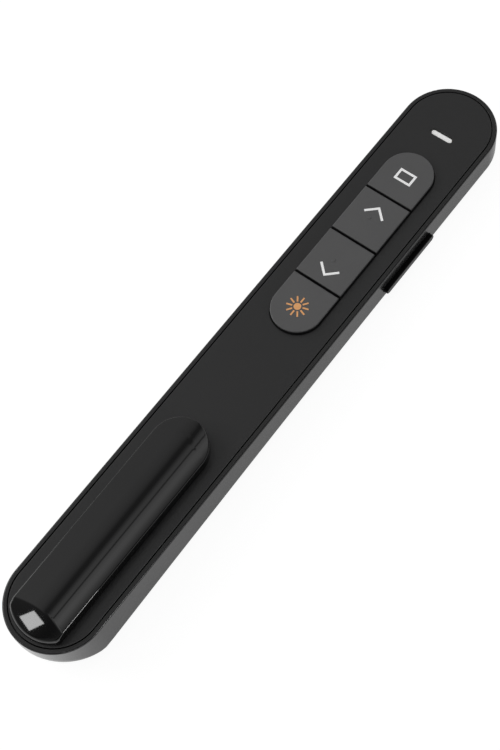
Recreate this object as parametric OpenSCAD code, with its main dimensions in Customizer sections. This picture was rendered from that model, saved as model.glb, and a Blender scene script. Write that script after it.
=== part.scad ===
// Wireless presentation clicker: a slim handheld remote with four thumb keys on its deck,
// a rocker in its right side, a laser in its nose and one AAA cell under the hump of its
// top cover. A USB receiver is stored in a bay of the underside.
// The part lies on its keel at z = 0, with the nose at +Y and the side rocker at +X.

/* [Body] */
// Width across the side walls
body_w = 20.7; // [20.4:0.1:21.4]
// Length from nose to tail
body_l = 148.25; // [147:0.25:150]
// Height of the deck over the table, at the centre of the nose arc
nose_h = 6.8; // [6.7:0.05:7.2]
// Height of the deck over the table, at the centre of the tail arc
tail_h = 10.45; // [10.3:0.05:10.8]
// Rounding of the outer upper edge of the side walls
rim_round = 0.4; // [0.3:0.05:0.5]
// Height of the walls' lower edge over the table at both ends
skirt_h = 0.4; // [0.35:0.05:0.5]
// Rise of that edge at mid length
arch_h = 1; // [0.8:0.1:1.1]
// Slope of the bevels between the walls and the keel
bevel_a = 30; // [29:1:32]
// Slope of the raised stern under the tail
stern_a = 45; // [43:1:46]
// How far the stern's centre lies inside the centre of the tail arc
stern_in = 6; // [5.6:0.1:6]
// Thickness of the floor and of the side walls
wall_t = 1.5; // [1.4:0.05:1.6]

/* [Top cover] */
// Thickness of the cover plate
plate_t = 1.4; // [1.3:0.05:1.5]
// Width of the rim that the side walls show round the cover
rim_w = 1; // [0.9:0.05:1.1]
// Width of the groove between rim and cover
groove_w = 0.2; // [0.15:0.05:0.25]
// Half width of the battery hump
hump_r = 6.1; // [6:0.05:6.3]
// Height of the hump's ridge over the deck
hump_h = 3.35; // [3.3:0.05:3.6]
// Height of the hump's long upper edges over the deck
hump_edge_h = 2.65; // [2.4:0.05:2.7]
// Centre of the hump's round front end
hump_front_y = -26.6; // [-27:0.1:-26.2]
// Where the domed facet of the hump's tail meets the ridge
facet_y = -67.2; // [-67.6:0.1:-66.8]
// Slope in the middle of that facet
facet_a = 24.5; // [23:0.5:25]
// Radius of its dome
facet_r = 80; // [60:5:100]
// Radius of the arc that ends the hump, round the centre of the body's own end
hump_tail_r = 8.5; // [8.3:0.05:8.6]
// Wall thickness of the hump
hump_t = 0.95; // [0.9:0.05:1]

/* [Keys] */
// Half width of the block of keys, and radius of its round ends
key_r = 5.6; // [5.5:0.05:5.7]
// Middle of the block of keys
keys_y = 30.1; // [29.8:0.1:30.4]
// Distance from one key to the next
key_pitch = 12.27; // [12.1:0.01:12.4]
// Gap between neighbouring keys
key_gap = 0.45; // [0.4:0.05:0.5]
// Height of the keys over the deck
key_rise = 0.9; // [0.8:0.05:1]
// Rounding of the keys' upper edges
key_round = 0.35; // [0.3:0.05:0.4]
// Travel of a key
key_travel = 0.4; // [0.3:0.05:0.4]
// Length of the status light's window
light_l = 5; // [4.8:0.1:5.2]
// Width of the status light's window
light_w = 1.1; // [1:0.05:1.2]
// Place of the window along the deck
light_y = 61.6; // [61.5:0.1:61.8]

/* [Side rocker] */
// Middle of the rocker
rocker_y = 34.4; // [34.2:0.1:34.6]
// Length of the rocker
rocker_l = 16.4; // [16.2:0.1:16.6]
// Height of the rocker
rocker_h = 1.65; // [1.6:0.05:1.7]
// Depth of its middle line under the deck
rocker_z = 4.05; // [4:0.05:4.1]
// How far it stands out of the wall
rocker_out = 0.95; // [0.9:0.05:1]

/* [Battery] */
// Radius of the AAA cell
cell_r = 5.2; // [5.1:0.05:5.2]
// Length of the cell without its positive cap
cell_l = 43.6; // [43.4:0.1:43.6]
// Front end of the cell's can
cell_y = -24; // [-24.1:0.05:-24]
// Half width of the battery door
door_hw = 5.9; // [5.85:0.05:5.95]
// Thickness of the battery door
door_t = 1.2; // [1.15:0.05:1.2]

/* [Hidden] */
$fn = 64;
body_r = body_w / 2;
half_l = body_l / 2 - body_r;
deck_h = (nose_h + tail_h) / 2;
tilt = atan((tail_h - nose_h) / (2 * half_l));
tall = 24;                                  // more than any height in the part
inner_r = body_r - wall_t;
keel_r = body_r - skirt_h / tan(bevel_a);
stern_r = norm([body_r, stern_in]) - skirt_h / tan(stern_a);
floor_t = 1.4;
arch_n = 10;                                // flats that follow the arched edge
plate_r = body_r - rim_w - groove_w;
cover_under = -plate_t;                     // underside of the plate, from the deck
run = 0.05;                                 // clearance between parts that slide

// Hump: a bar with a gently crowned top
crown_rise = hump_h - hump_edge_h;
crown_r = (hump_r * hump_r + crown_rise * crown_rise) / (2 * crown_rise);

// Centre of the facet's dome
facet_mid = 2.6;                            // from the ridge to the middle of the facet
dome_y = facet_y - facet_mid + facet_r * sin(facet_a);
dome_z = hump_h - sqrt(pow(facet_r, 2) - pow(facet_y - dome_y, 2));

// Keys
keys_half = 2 * key_pitch - key_r;          // from the block's middle to its end centres
function key_y(i) = keys_y + (i - 1.5) * key_pitch;
key_fit = 0.15;
lip_w = 0.85;                               // retaining lip under the cover
lip_top = cover_under - 0.1;
lip_t = 0.65;
key_foot = lip_top - lip_t;

// Board and what stands on it, from the deck
board_top = -4;
board_t = 1;
board_hw = 7.6;
board_y0 = 4.2;
board_y1 = 57.8;
board_spots = [for (x = [-6.5, 6.5], y = [7.6, 54.4]) [x, y]];
board_pin_r = 0.5;
switch_w = 4.5;
switch_h = 1.1;
switch_floor = 0.35;                        // floor of the plunger's well over the board
plate_h = 0.15;                             // steel plate on the switch
plunger_top = key_foot - 0.15;
plunger_r = 1.1;
plunger_z0 = board_top + switch_floor + key_travel + 0.1;

// Pin that the rocker turns on
pin_x = 7.3;
pin_z0 = -5.4;
pin_top = -1.9;
pin_r = 0.5;
lip_x = 8.15;                               // inner face of the lip behind the wall
pad_y = 6;                                  // from the pin to each switch
pad_x = 7.8;                                // face that meets the switch
pad_z = -3;                                 // height of the pads, level with the switches
switch_x = 7.55;                            // tip of the switch

// Screws: two behind the nose, two between receiver bay and board
screw_spots = [[-6.3, 60.2], [6.3, 60.2], [-5, 1.2], [5, 1.2]];
screw_seat = -5.6;
screw_r = 0.8;
screw_head_r = 1.5;
screw_head_h = 0.9;
post_top = -3.2;
post_r = 2.2;

// Hooks of the cover along the battery bay, from the deck
hook_spots = [-61, -31];
hook_l = 5;
hook_x = [8.05, 8.75];
hook_z = -3.3;
hook_nose = 0.3;                            // how far the hook reaches into the wall
hook_fit = 0.1;

// Laser, on a line under the deck
laser_z = -3.1;
laser_r = 1.6;
laser_y0 = 63;
laser_y1 = 70.6;
window_y = 71.4;

// Battery bay, from the table
cell_z = door_t + 2 * run + cell_r;
bay_hw = cell_r + 0.25;
bay_wall = 1.05;
rail_w = 1.9;                               // thick foot of the bay's walls, over the door
rail_h = 2.4;
spring_l = 3.3;                             // room for the spring and its plate
bay_y0 = cell_y - cell_l - spring_l;        // face that the negative plate leans on
stern_y = stern_in - half_l - stern_r;      // rear end of the keel
contact_t = 0.3;                            // thickness of the plate under the spring
bay_y1 = cell_y + 1.3;
door_y1 = -22.1;
tongue_w = 0.8;
tongue_z = [0.6, 1.15];
door_stop = -66.6;                          // rear end of the tongues

// Receiver bay, from the table
recv_y0 = -20.6;
recv_case_l = 6;
recv_plug_l = 12;
recv_case_hw = 7.1;
recv_plug_hw = 6;
recv_z = 0.5;
recv_case_h = 5.5;
recv_plug_h = 4.5;
recv_fit = 0.2;
recv_roof = 6.2;
recv_out_hw = recv_case_hw + recv_fit + 0.6;
recv_l = recv_case_l + recv_plug_l;
notch_hw = 9.1;                             // finger notches beside the case
notch_h = 1.5;
magnet_y = recv_y0 + 11.6;
magnet_r = 2.5;
magnet_z = recv_roof + 0.4;

// ---------- frames and shared shapes ----------

// Places things given from the deck: its middle, x to the right, y to the nose, z out of it
module on_deck() {
    translate([0, 0, deck_h]) rotate([-tilt, 0, 0]) children();
}

// Outline of a bar with round ends
module stadium(r, half) {
    square([2 * r, 2 * half], center = true);
    for (s = [-1, 1]) translate([0, s * half]) circle(r);
}

// Bar with round ends between two heights
module bar(r, half, z0, z1) {
    translate([0, 0, z0]) linear_extrude(z1 - z0) stadium(r, half);
}

// Right half of a bar's section, with its upper edge rounded
module rounded_half(r, depth, f) {
    difference() {
        translate([0, -depth]) square([r, depth]);
        difference() {
            translate([r - f, -f]) square([2 * f, 2 * f]);
            translate([r - f, -f]) circle(f);
        }
    }
}

// Bar with round ends whose top is at z = 0 and has a rounded edge
module rounded_bar(r, half, depth, f) {
    rotate([90, 0, 0]) linear_extrude(2 * half, center = true) {
        rounded_half(r, depth, f);
        mirror([1, 0]) rounded_half(r, depth, f);
    }
    for (a = [0, 180]) rotate([0, 0, a]) translate([0, half, 0])
        rotate_extrude(angle = 180) rounded_half(r, depth, f);
}

// Height of the walls' lower edge along the body
function edge_h(y) = skirt_h + arch_h * (1 - pow(y / half_l, 2));

// Everything below one bevel: a slab whose upper face follows the arched edge
module below_bevel() {
    pts = [for (i = [0:arch_n]) let (y = half_l * (2 * i / arch_n - 1))
        [y, (edge_h(y) - body_r * tan(bevel_a)) * cos(bevel_a)]];
    rotate([0, -bevel_a, 0]) rotate([90, 0, 90])
        linear_extrude(4 * tall, center = true)
            polygon(concat([[-half_l - run, pts[0][1]]], pts, [[half_l + run, pts[0][1]],
                [half_l + run, -2 * tall], [-half_l - run, -2 * tall]]));
}

// Everything below half a cone that rises from radius r at the slope a
module below_cone(r, a) {
    rise = 8;
    rotate_extrude(angle = 180)
        polygon([[r, 0], [r + rise / tan(a), rise], [r + rise / tan(a), -tall / 2], [r, -tall / 2]]);
}

// What lies over the underside: a flat keel with a bevel along each side, a cone at each end,
// and a steeper cone that raises the stern
module over_underside(lift) {
    difference() {
        difference() {
            children();
            translate([0, 0, lift]) {
                translate([-body_w, -body_l, -tall]) cube([2 * body_w, 2 * body_l, tall]);
                below_bevel();
                mirror([1, 0, 0]) below_bevel();
                for (a = [0, 180]) rotate([0, 0, a])
                    translate([0, half_l, 0]) below_cone(keel_r, bevel_a);
            }
        }
        rotate([0, 0, 180]) translate([0, half_l - stern_in, lift]) below_cone(stern_r, stern_a);
    }
}

// The closed outer form of the lower housing and the battery door
module outer_form() {
    over_underside(0) on_deck() rounded_bar(body_r, half_l, tall / 2, rim_round);
}

// Bar of the hump, moved in by d on every side
module hump_bar(d, z0) {
    r = hump_r - d;
    ridge_end = dome_y - sqrt(pow(facet_r - d, 2) - pow(hump_h - d - dome_z, 2));
    intersection() {
        translate([0, 0, z0]) linear_extrude(hump_h + 1 - z0) intersection() {
            union() {
                translate([0, hump_front_y]) circle(r);
                translate([-r, -half_l - body_r]) square([2 * r, half_l + body_r + hump_front_y]);
            }
            stadium(hump_tail_r - d, half_l);
        }
        translate([0, 0, hump_h - crown_r]) rotate([90, 0, 0])
            cylinder(r = crown_r - d, h = 2 * body_l, center = true, $fn = 256);
        union() {
            translate([-body_w, ridge_end, -tall]) cube([2 * body_w, body_l, 2 * tall]);
            translate([0, dome_y, dome_z]) sphere(facet_r - d, $fn = 200);
        }
    }
}

// Tube with eight sides through a list of points; side is a direction that it never runs along
function unit(v) = v / norm(v);
function heading(p, i) = unit(p[min(i + 1, len(p) - 1)] - p[max(i - 1, 0)]);
module tube(p, r, side = [0, 0, 1]) {
    n = 8;
    last = len(p) - 1;
    pts = [for (i = [0:last]) let (t = heading(p, i), u = unit(cross(t, side)), v = cross(t, u))
        for (k = [0:n - 1]) p[i] + r * (cos(360 * k / n) * u + sin(360 * k / n) * v)];
    sides = [for (i = [0:last - 1], k = [0:n - 1]) let (j = i * n, m = (k + 1) % n)
        for (f = [[j + k, j + n + k, j + n + m], [j + k, j + n + m, j + m]]) f];
    polyhedron(points = pts, faces = concat([[for (k = [0:n - 1]) k]], sides,
        [[for (k = [n - 1:-1:0]) last * n + k]]));
}

// ---------- housing ----------

// Walls, rails, posts and seats that the lower housing carries inside
module inner_walls() {
    over_underside(floor_t / 2) intersection() {
        on_deck() bar(body_r - wall_t / 2, half_l, -tall / 2, cover_under - run);
        union() {
            for (s = [-1, 1]) {
                translate([s * (bay_hw + bay_wall / 2) - bay_wall / 2, bay_y0 - 2, 0])
                    cube([bay_wall, bay_y1 - bay_y0 + 3, tall]);
                translate([s * (bay_hw + rail_w / 2) - rail_w / 2, bay_y0 - 2, 0])
                    cube([rail_w, bay_y1 - bay_y0 + 3, rail_h]);
            }
            translate([-bay_hw, bay_y0 - 3, 0]) cube([2 * bay_hw, 3, tall]);
            translate([-bay_hw - bay_wall, bay_y1, 0])
                cube([2 * (bay_hw + bay_wall), recv_y0 - recv_fit - bay_y1 + run, tall]);
            translate([-recv_out_hw, recv_y0 - recv_fit, 0])
                cube([2 * recv_out_hw, recv_l + 2 * recv_fit + bay_wall, recv_roof + 1]);
            translate([-body_r, recv_y0, 0]) cube([body_w, recv_case_l, notch_h + 1.1]);
            on_deck() posts();
        }
    }
}

// Posts for screws, board and rocker pin, and the seats of laser and window
module posts() {
    for (p = screw_spots) translate([p[0], p[1], post_top - tall]) cylinder(r = post_r, h = tall);
    for (p = board_spots) translate([p[0], p[1], board_top - board_t - tall]) {
        cylinder(r = 1.2, h = tall);
        cylinder(r = board_pin_r, h = tall + board_t + 0.3);
    }
    translate([pin_x, rocker_y, -4.2 - tall]) difference() {
        cylinder(r = 1.1, h = tall);
        translate([lip_x - 0.1 - pin_x, -2, -1]) cube([2, 4, tall + 2]);
    }
    translate([-2.6, 64.4, laser_z - tall]) cube([5.2, 6, tall]);
    translate([-2.6, window_y, -tall]) cube([5.2, 3, tall]);
}

// What is cut out of the floor for the battery and its door
module door_slot() {
    translate([-bay_hw, stern_y, -1]) cube([2 * bay_hw, bay_y1 - stern_y, door_t + 3]);
    translate([-door_hw - 0.1, -body_l, -1])
        cube([2 * door_hw + 0.2, body_l + door_y1 + 0.1, door_t + run + 1]);
    translate([-door_hw - tongue_w - 0.1, -body_l, tongue_z[0] - 0.1])
        cube([2 * (door_hw + tongue_w + 0.1), body_l + door_y1 + 0.1, door_t + run + 0.1 - tongue_z[0]]);
}

// Bay that takes the receiver, with a finger notch at each side
module receiver_bay() {
    translate([-recv_case_hw - recv_fit, recv_y0 - recv_fit, -1])
        cube([2 * (recv_case_hw + recv_fit), recv_case_l + 2 * recv_fit, recv_roof + 1]);
    translate([-recv_plug_hw - recv_fit, recv_y0, -1])
        cube([2 * (recv_plug_hw + recv_fit), recv_l + recv_fit, recv_roof + 1]);
    translate([-notch_hw, recv_y0 + 1, -1]) cube([2 * notch_hw, recv_case_l - 2, notch_h + 1]);
    translate([0, magnet_y, magnet_z]) cylinder(r = magnet_r, h = 2);
}

// Slot for the side rocker
module rocker_slot() {
    translate([inner_r - 1, rocker_y, -rocker_z]) rotate([90, 0, 90])
        linear_extrude(4) rotate(90) stadium(rocker_h / 2 + key_fit, rocker_l / 2 - rocker_h / 2);
}

// Nose of a cover hook, larger by fit on every side
module hook_nose(y, fit) {
    translate([hook_x[1] - 0.2, y - hook_l / 2 - fit, hook_z - fit])
        cube([hook_nose + 0.2 + fit, hook_l + 2 * fit, 0.5 + 2 * fit]);
}

module lower_housing() {
    color("#1d1e20") difference() {
        union() {
            difference() {
                outer_form();
                on_deck() bar(plate_r + groove_w, half_l, cover_under, 1);
                over_underside(floor_t) on_deck() bar(inner_r, half_l, -tall / 2, 1);
            }
            inner_walls();
        }
        door_slot();
        receiver_bay();
        translate([bay_hw - 0.2, bay_y0 + 1, 7.4]) cube([bay_wall + 0.4, 2, 2]);
        for (s = [-1, 1]) translate([s * (bay_hw + 0.5) - 1, bay_y1 - 0.9, 4.4]) cube([2, 1.6, 1.6]);
        on_deck() {
            for (s = [0, 1], y = hook_spots) mirror([s, 0, 0]) hook_nose(y, hook_fit);
            rocker_slot();
            translate([pin_x, rocker_y, pin_z0]) cylinder(r = pin_r, h = 4);
            for (p = screw_spots) translate([p[0], p[1], 0]) {
                translate([0, 0, -tall]) cylinder(r = screw_head_r + 0.1, h = tall + screw_seat);
                translate([0, 0, -tall]) cylinder(r = screw_r + 0.1, h = tall);
            }
            translate([0, laser_y0, laser_z]) rotate([-90, 0, 0]) {
                cylinder(r = laser_r, h = laser_y1 - laser_y0);
                translate([0, 0, window_y - laser_y0 - 0.1]) cylinder(r = laser_r, h = 0.9);
                cylinder(r = 1.1, h = 20);
            }
        }
    }
}

module top_cover() {
    color("#26282a") difference() {
        on_deck() difference() {
            union() {
                rounded_bar(plate_r, half_l, plate_t, 0.15);
                hump_bar(0, -0.5);
                for (p = screw_spots) translate([p[0], p[1], post_top])
                    cylinder(r = 1.6, h = -post_top + cover_under);
                translate([pin_x, rocker_y, pin_top + run]) cylinder(r = 0.7, h = 0.6);
                for (s = [0, 1], y = hook_spots) mirror([s, 0, 0]) {
                    translate([hook_x[0], y - hook_l / 2, hook_z])
                        cube([hook_x[1] - hook_x[0], hook_l, cover_under - hook_z]);
                    hook_nose(y, 0);
                }
            }
            hump_bar(hump_t, -plate_t - 1);
            translate([0, keys_y, 0]) bar(key_r + key_fit, keys_half, -tall / 2, 1);
            translate([0, light_y, -tall / 2]) linear_extrude(tall) rotate(90)
                stadium(light_w / 2, light_l / 2 - light_w / 2);
            for (p = screw_spots) translate([p[0], p[1], post_top - 1])
                cylinder(r = screw_r, h = 2.6);
        }
        translate([0, cell_y + 0.4, cell_z]) rotate([90, 0, 0])
            cylinder(r = cell_r + 0.15, h = cell_l + 0.8);
    }
}

// Clear piece that takes the status light from the board to the deck
module light_pipe() {
    color("#e8e8e2") on_deck() {
        translate([0, light_y, cover_under - 0.1]) linear_extrude(plate_t - 0.25) rotate(90)
            stadium(light_w / 2, light_l / 2 - light_w / 2);
        translate([-light_l / 2, 56.2, -2.1]) cube([light_l, light_y + 0.6 - 56.2, 0.65]);
        translate([-0.9, 56.2, board_top + 0.65]) cube([1.8, 1.6, 1.6]);
    }
}

// ---------- keys ----------

// One key of the block: i counts from the tail
module key_cap(i) {
    y0 = key_y(i) - key_pitch / 2 + (i == 0 ? -lip_w : key_gap / 2);
    y1 = key_y(i) + key_pitch / 2 + (i == 3 ? lip_w : -key_gap / 2);
    difference() {
        union() {
            intersection() {
                union() {
                    translate([0, keys_y, key_rise])
                        rounded_bar(key_r, keys_half, key_rise - key_foot, key_round);
                    translate([0, keys_y, 0]) bar(key_r + lip_w, keys_half, key_foot, lip_top);
                }
                translate([-body_r, y0, -tall / 2]) cube([body_w, y1 - y0, tall]);
            }
            translate([0, key_y(i), plunger_top]) cylinder(r = 1.6, h = 0.4);
        }
        if (i > 0) key_edge(y0);
        if (i < 3) key_edge(y1);
    }
}

// Bevel along a straight edge of a key's top
module key_edge(y) {
    translate([0, y, key_rise]) rotate([45, 0, 0])
        cube([body_w, key_round * sqrt(2) / 2, key_round * sqrt(2) / 2], center = true);
}

// Low round bump that the thumb finds
module tactile_dot(y) {
    intersection() {
        translate([0, y, key_rise - 0.9]) sphere(r = 1.05);
        translate([-1, y - 1, key_rise - 0.2]) cube([2, 2, 1]);
    }
}

module laser_key() {
    color("#55575a") on_deck() key_cap(0);
}

module down_key() {
    color("#55575a") on_deck() {
        key_cap(1);
        tactile_dot(key_y(1) + 2.4);
    }
}

module up_key() {
    color("#55575a") on_deck() {
        key_cap(2);
        tactile_dot(key_y(2) - 2.4);
    }
}

module black_screen_key() {
    color("#55575a") on_deck() key_cap(3);
}

// Plunger of the switch under key i
module plunger(i) {
    color("#c9b27c") on_deck() translate([0, key_y(i), plunger_z0])
        cylinder(r = plunger_r, h = plunger_top - plunger_z0);
}

module laser_plunger() { plunger(0); }
module down_plunger() { plunger(1); }
module up_plunger() { plunger(2); }
module black_screen_plunger() { plunger(3); }

// Rocker: a slim bar through the wall, a lip behind it, and a lug that turns on the pin
module side_rocker() {
    lip_z0 = -rocker_z - rocker_h / 2 - 0.3;
    lip_z1 = pad_z + 1.2;
    color("#2a2c2e") on_deck() translate([0, rocker_y, 0]) difference() {
        union() {
            translate([inner_r - 0.5, 0, -rocker_z]) rotate([90, 0, 90])
                linear_extrude(body_r + rocker_out - inner_r + 0.5)
                    rotate(90) stadium(rocker_h / 2, rocker_l / 2 - rocker_h / 2);
            translate([lip_x, -rocker_l / 2 - 0.8, lip_z0]) cube([0.45, rocker_l + 1.6, lip_z1 - lip_z0]);
            translate([pin_x - 0.85, -0.8, pad_z - 1.1]) cube([lip_x + 0.2 - pin_x + 0.85, 1.6, 1.4]);
            for (s = [-1, 1]) translate([pad_x, s * pad_y - 0.75, pad_z - 0.6])
                cube([lip_x + 0.2 - pad_x, 1.5, 1.2]);
        }
        translate([pin_x, 0, pad_z - 3]) cylinder(r = pin_r + run, h = 6);
    }
}

module rocker_pin() {
    color("#b9bcc0") on_deck() translate([pin_x, rocker_y, pin_z0]) cylinder(r = pin_r, h = pin_top - pin_z0);
}

// ---------- electronics ----------

module main_board() {
    color("#1f5a37") on_deck() difference() {
        translate([-board_hw, board_y0, board_top - board_t])
            cube([2 * board_hw, board_y1 - board_y0, board_t]);
        for (p = board_spots) translate([p[0], p[1], -tall / 2]) cylinder(r = board_pin_r + run, h = tall);
        translate([5.9, rocker_y - 1.6, -tall / 2]) cube([4, 3.2, tall]);
    }
}

// Body of a small push switch, with the well of its plunger
module key_switches() {
    color("#18191b") on_deck() for (i = [0:3]) translate([0, key_y(i), board_top]) difference() {
        translate([-switch_w / 2, -switch_w / 2, 0]) cube([switch_w, switch_w, switch_h]);
        translate([0, 0, switch_floor]) cylinder(r = plunger_r + 0.1, h = 2);
    }
}

// Steel plates that close the push switches
module switch_plates() {
    color("#b4b7ba") on_deck() for (i = [0:3]) translate([0, key_y(i), board_top + switch_h]) difference() {
        translate([-switch_w / 2, -switch_w / 2, 0]) cube([switch_w, switch_w, plate_h]);
        translate([0, 0, -1]) cylinder(r = plunger_r + 0.1, h = 2);
    }
}

module side_switches() {
    color("#1b1c1e") on_deck() for (s = [-1, 1]) translate([switch_x, rocker_y + s * pad_y, board_top]) {
        translate([-2.65, -1.75, 0]) cube([2.4, 3.5, 1.3]);
        translate([-0.25, -0.6, 0.4]) cube([0.25, 1.2, 0.6]);
    }
}

module controller_chip() {
    color("#141516") on_deck() translate([-2.5, key_y(0) + key_pitch / 2 - 2.5, board_top])
        cube([5, 5, 0.8]);
}

module radio_chip() {
    color("#141516") on_deck() translate([-2, key_y(1) + key_pitch / 2 - 2, board_top])
        cube([4, 4, 0.75]);
}

module crystal_can() {
    color("#c4c6c9") on_deck() translate([-1.6, key_y(2) + key_pitch / 2 - 1.25, board_top])
        cube([3.2, 2.5, 0.7]);
}

module chip_antenna() {
    color("#e9e6dc") on_deck() translate([-6.6, 46, board_top]) cube([2, 6.5, 0.8]);
}

module chip_capacitors() {
    color("#8a6a45") on_deck() {
        for (y = [16, 20, 28, 32, 40.4, 44]) translate([-4.9, y - 0.4, board_top]) cube([1.6, 0.8, 0.8]);
        for (y = [15.4, 19.4, 44]) translate([3.4, y - 0.4, board_top]) cube([1.6, 0.8, 0.8]);
    }
}

module status_led() {
    color("#f2efe2") on_deck() translate([-0.8, 56.6, board_top]) cube([1.6, 0.8, 0.6]);
}

// ---------- laser ----------

module along_laser(y) {
    on_deck() translate([0, y, laser_z]) rotate([-90, 0, 0]) children();
}

module laser_barrel() {
    color("#b08d4a") along_laser(laser_y0) difference() {
        cylinder(r = laser_r, h = laser_y1 - laser_y0);
        translate([0, 0, -1]) cylinder(r = 1.2, h = 20);
    }
}

module laser_diode() {
    color("#c8a24a") along_laser(laser_y0) {
        translate([0, 0, -0.4]) cylinder(r = 1.5, h = 0.4);
        cylinder(r = 1.15, h = 1.6);
        for (x = [-0.8, 0, 0.8]) translate([x, 0.65, -5.5]) cylinder(r = 0.2, h = 5.2);
    }
}

module laser_lens() {
    color("#cfe3ea") along_laser(laser_y1 - 1.6) cylinder(r = 1.2, h = 1);
}

module laser_window() {
    color("#3a1012") along_laser(window_y) cylinder(r = laser_r, h = 0.7);
}

// ---------- battery ----------

module aaa_cell() {
    color("#a9adb2") translate([0, cell_y, cell_z]) rotate([90, 0, 0]) cylinder(r = cell_r, h = cell_l);
}

module cell_cap() {
    color("#c9ccd0") translate([0, cell_y + 0.9, cell_z]) rotate([90, 0, 0]) cylinder(r = 1.9, h = 0.9);
}

module negative_plate() {
    color("#c2c4c7") translate([-3.8, bay_y0, 4.4]) cube([7.6, contact_t, 4.7]);
}

// Cone spring squeezed between its plate and the cell
module battery_spring() {
    wire_r = 0.25;
    span = spring_l - contact_t - 2 * wire_r;
    turns = 4;
    steps = 60;
    color("#c9cbce") translate([0, bay_y0 + contact_t + wire_r, cell_z])
        tube([for (i = [0:steps]) let (u = i / steps, a = 360 * turns * u, r = 2.45 - 0.65 * u)
            [r * cos(a), span * u, r * sin(a)]], wire_r, [0, 1, 0]);
}

module positive_plate() {
    color("#c2c4c7") {
        translate([-4, bay_y1 - 0.4, 3]) cube([8, 0.35, 4.7]);
        translate([-3, bay_y1 - 0.4, 3]) cube([6, 0.35, 6.8]);
        translate([-7, bay_y1 - 0.4, 4.6]) cube([3.2, 0.35, 1.2]);
    }
}

// Leads, laid in the channels beside the bays
module positive_lead() {
    color("#b32b26") tube([[-6.95, -22.3, 5.2], [-7.75, -22, 5.2], [-8.25, -21.3, 5.2], [-8.35, -20.2, 5.2],
        [-8.35, -15, 5.2], [-8.35, -10, 5.2], [-8.35, -5, 5.2], [-8.3, -1, 5.2], [-7.9, 1.4, 5.1],
        [-7.2, 3.4, 5], [-6.4, 5.2, 4.9]], 0.35);
}

module negative_lead() {
    color("#232426") tube([[3.4, -70.2, 8.4], [4.8, -69.7, 8.4], [6, -69, 8.4], [7, -67.7, 8.3],
        [7.5, -65.5, 8.1], [7.6, -60, 7.7], [7.6, -50, 7.2], [7.6, -40, 6.7], [7.6, -30, 6.2],
        [7.7, -25, 5.8], [8.05, -22.4, 5.5], [8.35, -20, 5.3], [8.35, -15, 5.2], [8.35, -10, 5.2],
        [8.35, -5, 5.2], [8.3, -1, 5.2], [7.9, 1.4, 5.1], [7.2, 3.4, 5], [6.4, 5.2, 4.9]], 0.35);
}

// Door: a strip of the underside that slides off past the tail on two tongues
module battery_door() {
    color("#1d1e20") difference() {
        union() {
            intersection() {
                outer_form();
                translate([-door_hw, -body_l, 0]) cube([2 * door_hw, body_l + door_y1, door_t]);
            }
            translate([-door_hw - tongue_w, door_stop, tongue_z[0]])
                cube([2 * (door_hw + tongue_w), door_y1 - door_stop, tongue_z[1] - tongue_z[0]]);
        }
        for (i = [0:5]) translate([-3.5, -64 + i * 1.4, -0.7]) cube([7, 0.7, 1]);
    }
}

// ---------- receiver ----------

module receiver_case() {
    color("#1b1c1e") translate([0, recv_y0 + recv_case_l, recv_z + recv_case_h / 2])
        rotate([90, 0, 0]) linear_extrude(recv_case_l) {
            square([2 * recv_case_hw - 2, recv_case_h], center = true);
            square([2 * recv_case_hw, recv_case_h - 2], center = true);
            for (x = [-1, 1], z = [-1, 1])
                translate([x * (recv_case_hw - 1), z * (recv_case_h / 2 - 1)]) circle(1);
        }
}

// Steel sleeve of the plug, with the two windows of its underside and topside
module receiver_plug() {
    z0 = recv_z + (recv_case_h - recv_plug_h) / 2;
    color("#c3c6ca") translate([0, recv_y0 + recv_case_l, z0]) difference() {
        translate([-recv_plug_hw, 0, 0]) cube([2 * recv_plug_hw, recv_plug_l, recv_plug_h]);
        translate([-recv_plug_hw + 0.3, -1, 0.3])
            cube([2 * recv_plug_hw - 0.6, recv_plug_l + 2, recv_plug_h - 0.6]);
        for (x = [-2.9, 2.9]) translate([x - 1, 6, -1]) cube([2, 2, 10]);
    }
}

module receiver_tongue() {
    color("#e6e6e2") translate([-5.6, recv_y0 + recv_case_l, recv_z + recv_case_h / 2])
        cube([11.2, recv_plug_l - 0.4, 1.9]);
}

module receiver_contacts() {
    color("#c9a24a") for (x = [-3.5, -1, 1, 3.5])
        translate([x - 0.5, recv_y0 + recv_case_l + 2.6, recv_z + recv_case_h / 2 - 0.15])
            cube([1, 8, 0.15]);
}

module receiver_magnet() {
    color("#9b9ea2") translate([0, magnet_y, magnet_z]) cylinder(r = magnet_r, h = 0.5);
}

// ---------- fasteners ----------

module housing_screws() {
    color("#8d9094") on_deck() for (p = screw_spots) translate([p[0], p[1], 0]) difference() {
        union() {
            translate([0, 0, screw_seat - screw_head_h]) cylinder(r = screw_head_r, h = screw_head_h);
            translate([0, 0, screw_seat]) cylinder(r = screw_r, h = 3.6);
        }
        for (a = [0, 90]) rotate([0, 0, a])
            translate([-0.9, -0.15, screw_seat - screw_head_h - 1]) cube([1.8, 0.3, 1.45]);
    }
}

lower_housing();
top_cover();
light_pipe();
black_screen_key();
up_key();
down_key();
laser_key();
black_screen_plunger();
up_plunger();
down_plunger();
laser_plunger();
side_rocker();
rocker_pin();
main_board();
key_switches();
switch_plates();
side_switches();
controller_chip();
radio_chip();
crystal_can();
chip_antenna();
chip_capacitors();
status_led();
laser_barrel();
laser_diode();
laser_lens();
laser_window();
aaa_cell();
cell_cap();
negative_plate();
battery_spring();
positive_plate();
positive_lead();
negative_lead();
battery_door();
receiver_case();
receiver_plug();
receiver_tongue();
receiver_contacts();
receiver_magnet();
housing_screws();
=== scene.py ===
"""Visual model of a wireless presentation clicker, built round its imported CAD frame.

Sizes in the dataclasses are millimetres on the deck: x to the right, y to the nose, z out of
the deck. Meshes are metres in the row frame, which lies level on the table.
"""

from __future__ import annotations

import logging
import math
from dataclasses import dataclass
from enum import Enum
from typing import Callable, Iterable, Sequence

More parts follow.
